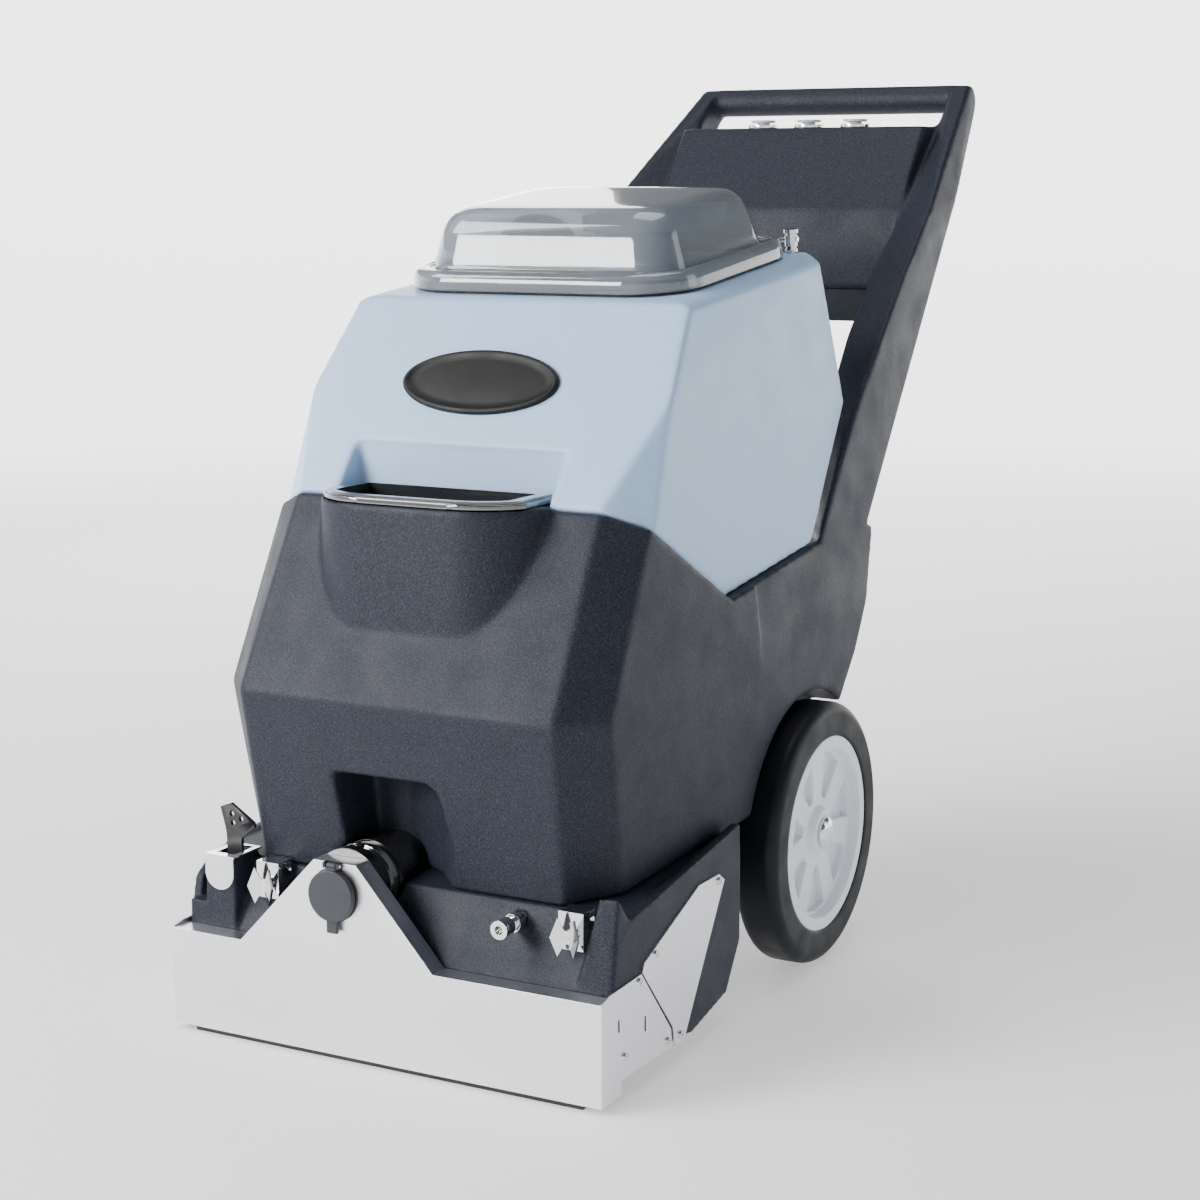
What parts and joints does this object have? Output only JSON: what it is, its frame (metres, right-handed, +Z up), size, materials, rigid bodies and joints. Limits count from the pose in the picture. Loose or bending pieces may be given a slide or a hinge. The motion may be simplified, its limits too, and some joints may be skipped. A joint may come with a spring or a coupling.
{
  "type": "carpet cleaner machine",
  "caption": "Walk-behind carpet cleaner with a steel suction shoe, brush deck, moulded solution tank and handle, lift-off recovery tank with a clear hinged lid, and large wheels.",
  "frame": {"origin": "on the floor under the middle of the machine", "axes": "+Z up, -Y towards the suction shoe at the front, +Y towards the handle, +X to the machine's right as it is seen from the front"},
  "size_m": [0.506, 1.11, 0.9485],
  "materials": {
    "charcoal_plastic": "rotomoulded, fine orange peel",
    "tank_plastic": "satin",
    "clear_plastic": "clear, glossy",
    "steel": "brushed diagonally",
    "chrome": "polished",
    "black_plastic": "satin",
    "gloss_black": "glossy",
    "grey_rubber": "matte",
    "black_rubber": "matte",
    "tyre_rubber": "satin",
    "hub_plastic": "satin off-white",
    "light_plastic": "satin",
    "brass": "turned",
    "motor_paint": "satin",
    "bristle": "filament",
    "silver_metal": "satin"
  },
  "bodies": {
    "chassis": {"skirt_plate": "steel", "side_plate_left": "steel", "side_plate_right": "steel", "vacuum_shoe": "black_plastic", "port_collar": "black_plastic", "cap_pin": "chrome", "vacuum_duct": "gloss_black", "duct_clip": "chrome", "base_housing": "charcoal_plastic", "chassis_frame": "motor_paint", "spray_bar": "silver_metal", "spray_nozzles": "brass", "brush_hangers": "motor_paint", "drive_belt": "black_rubber", "brush_motor": "motor_paint", "vacuum_motor": "motor_paint", "solution_pump": "black_plastic", "solution_tank": "charcoal_plastic", "pocket_rim": "gloss_black", "handle_arm_left": "charcoal_plastic", "handle_arm_right": "charcoal_plastic", "handle_grip": "charcoal_plastic", "control_console": "charcoal_plastic", "console_cover": "black_plastic", "switch_bezels": "chrome", "cord_gland": "black_rubber", "axle": "silver_metal", "axle_cap_left": "chrome", "axle_cap_right": "chrome", "lever_bracket": "chrome", "lever_pin": "chrome", "latch_brackets": "chrome", "quick_coupling": "chrome", "plate_screws": "chrome"},
    "wheel_left": {"tyre_left": "tyre_rubber", "hub_left": "hub_plastic"},
    "wheel_right": {"tyre_right": "tyre_rubber", "hub_right": "hub_plastic"},
    "brush": {"brush_core": "black_plastic", "brush_bristles": "bristle", "brush_pulley": "silver_metal"},
    "motor_shaft": {"motor_pulley": "silver_metal"},
    "recovery": {"recovery_tank": "tank_plastic", "blank_badge": "gloss_black", "lid_gasket": "black_rubber", "hinge_posts": "chrome", "hinge_pin": "chrome", "inlet_dome": "black_plastic", "float_housing": "tank_plastic"},
    "lid": {"clear_lid": "clear_plastic"},
    "float": {"float_ball": "light_plastic"},
    "strainer": {"fill_strainer": "gloss_black"},
    "lever": {"foot_lever": "gloss_black"},
    "wing_left": {"latch_wing_left": "chrome"},
    "wing_right": {"latch_wing_right": "chrome"},
    "sleeve": {"coupling_sleeve": "chrome"},
    "button_left": {"switch_left": "light_plastic"},
    "button_middle": {"switch_middle": "light_plastic"},
    "button_right": {"switch_right": "light_plastic"},
    "cap": {"port_cap": "grey_rubber"}
  },
  "joints": [
    {"name": "wheel_left_spin", "type": "hinge", "parent": "chassis", "child": "wheel_left", "pos_m": [-0.224, -0.048, 0.141], "axis": [1, 0, 0], "continuous": true},
    {"name": "wheel_right_spin", "type": "hinge", "parent": "chassis", "child": "wheel_right", "pos_m": [0.224, -0.048, 0.141], "axis": [1, 0, 0], "continuous": true},
    {"name": "brush_spin", "type": "hinge", "parent": "chassis", "child": "brush", "pos_m": [0, -0.452, 0.052], "axis": [1, 0, 0], "continuous": true},
    {"name": "motor_spin", "type": "hinge", "parent": "chassis", "child": "motor_shaft", "pos_m": [0.2, -0.346, 0.104], "axis": [1, 0, 0], "continuous": true},
    {"name": "recovery_lift", "type": "slide", "parent": "chassis", "child": "recovery", "axis": [0, 0, 1], "range_m": [0, 0.3]},
    {"name": "lid_hinge", "type": "hinge", "parent": "recovery", "child": "lid", "pos_m": [0, 0.05695, 0.76716], "axis": [-1, 0, 0], "range_deg": [0, 105]},
    {"name": "float_rise", "type": "slide", "parent": "recovery", "child": "float", "axis": [0, -0.1219, 0.9925], "range_m": [0, 0.034]},
    {"name": "strainer_lift", "type": "slide", "parent": "chassis", "child": "strainer", "axis": [0, 0, 1], "range_m": [0, 0.1]},
    {"name": "cap_swing", "type": "hinge", "parent": "chassis", "child": "cap", "pos_m": [-0.045, -0.5502, 0.195], "axis": [-1, 0, 0], "range_deg": [0, 110]},
    {"name": "lever_tilt", "type": "hinge", "parent": "chassis", "child": "lever", "pos_m": [-0.195, -0.5, 0.14], "axis": [1, 0, 0], "range_deg": [0, 20]},
    {"name": "wing_left_turn", "type": "hinge", "parent": "chassis", "child": "wing_left", "pos_m": [-0.148, -0.517, 0.152], "axis": [0, 1, 0], "range_deg": [0, 90]},
    {"name": "wing_right_turn", "type": "hinge", "parent": "chassis", "child": "wing_right", "pos_m": [0.19, -0.517, 0.152], "axis": [0, 1, 0], "range_deg": [0, 90]},
    {"name": "sleeve_pull", "type": "slide", "parent": "chassis", "child": "sleeve", "axis": [0, 1, 0], "range_m": [0, 0.006], "stiffness_N_per_m": 300},
    {"name": "button_left_press", "type": "slide", "parent": "chassis", "child": "button_left", "axis": [0, 0, -1], "range_m": [0, 0.0025], "stiffness_N_per_m": 800},
    {"name": "button_middle_press", "type": "slide", "parent": "chassis", "child": "button_middle", "axis": [0, 0, -1], "range_m": [0, 0.0025], "stiffness_N_per_m": 800},
    {"name": "button_right_press", "type": "slide", "parent": "chassis", "child": "button_right", "axis": [0, 0, -1], "range_m": [0, 0.0025], "stiffness_N_per_m": 800}
  ],
  "couplings": [
    {"joint": "motor_spin", "follows": "brush_spin", "ratio": 2}
  ]
}
